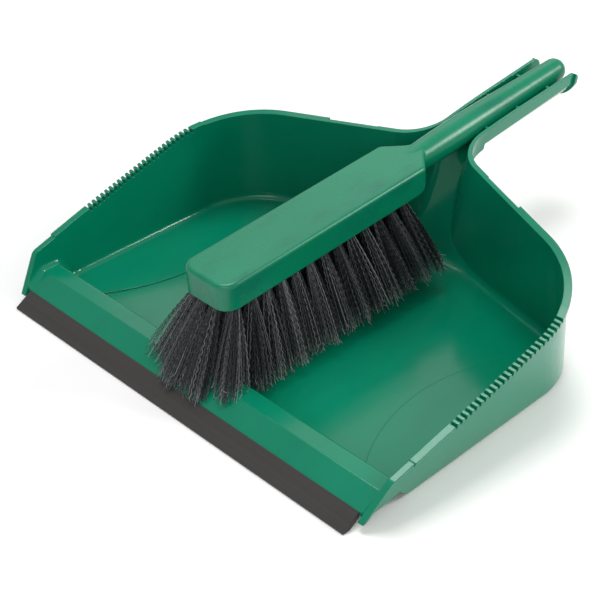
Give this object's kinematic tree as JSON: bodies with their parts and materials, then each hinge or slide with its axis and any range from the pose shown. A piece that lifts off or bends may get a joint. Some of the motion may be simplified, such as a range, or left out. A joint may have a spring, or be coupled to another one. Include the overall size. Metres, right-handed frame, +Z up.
{
  "type": "dust pan and brush set",
  "caption": "Hand dust pan with a rubber lip, comb teeth in its side rims and a handle channel, holding a tufted hand brush whose round handle rests in the channel.",
  "frame": {"origin": "middle of the overall length and width, on the ground under the pan", "axes": "+X across the lip to the right seen from the lip, +Y from the lip to the handles, +Z up"},
  "size_m": [0.356, 0.404, 0.1145],
  "materials": {
    "pan_plastic": "glossy injection moulded green plastic",
    "lip_rubber": "dull dark grey rubber",
    "brush_plastic": "satin injection moulded green plastic with a faint moulding seam",
    "bristles": "crimped near-black synthetic filaments with frayed tips",
    "anchor_wire": "plain drawn flat wire"
  },
  "bodies": {
    "dustpan": {"dustpan_body": "pan_plastic", "rubber_lip": "lip_rubber"},
    "brush": {"brush_block": "brush_plastic", "tuft_anchors": "anchor_wire", "bristle_left_outer_01": "bristles", "bristle_left_outer_02": "bristles", "bristle_left_outer_03": "bristles", "bristle_left_outer_04": "bristles", "bristle_left_outer_05": "bristles", "bristle_left_outer_06": "bristles", "bristle_left_outer_07": "bristles", "bristle_left_outer_08": "bristles", "bristle_left_outer_09": "bristles", "bristle_left_outer_10": "bristles", "bristle_left_outer_11": "bristles", "bristle_left_outer_12": "bristles", "bristle_left_outer_13": "bristles", "bristle_left_inner_01": "bristles", "bristle_left_inner_02": "bristles", "bristle_left_inner_03": "bristles", "bristle_left_inner_04": "bristles", "bristle_left_inner_05": "bristles", "bristle_left_inner_06": "bristles", "bristle_left_inner_07": "bristles", "bristle_left_inner_08": "bristles", "bristle_left_inner_09": "bristles", "bristle_left_inner_10": "bristles", "bristle_left_inner_11": "bristles", "bristle_left_inner_12": "bristles", "bristle_left_inner_13": "bristles", "bristle_left_inner_14": "bristles", "bristle_right_inner_01": "bristles", "bristle_right_inner_02": "bristles", "bristle_right_inner_03": "bristles", "bristle_right_inner_04": "bristles", "bristle_right_inner_05": "bristles", "bristle_right_inner_06": "bristles", "bristle_right_inner_07": "bristles", "bristle_right_inner_08": "bristles", "bristle_right_inner_09": "bristles", "bristle_right_inner_10": "bristles", "bristle_right_inner_11": "bristles", "bristle_right_inner_12": "bristles", "bristle_right_inner_13": "bristles", "bristle_right_inner_14": "bristles", "bristle_right_outer_01": "bristles", "bristle_right_outer_02": "bristles", "bristle_right_outer_03": "bristles", "bristle_right_outer_04": "bristles", "bristle_right_outer_05": "bristles", "bristle_right_outer_06": "bristles", "bristle_right_outer_07": "bristles", "bristle_right_outer_08": "bristles", "bristle_right_outer_09": "bristles", "bristle_right_outer_10": "bristles", "bristle_right_outer_11": "bristles", "bristle_right_outer_12": "bristles", "bristle_right_outer_13": "bristles"}
  },
  "joints": [
    {"name": "brush_lift", "type": "slide", "parent": "dustpan", "child": "brush", "axis": [0, 0, 1], "range_m": [0, 0.13]}
  ]
}
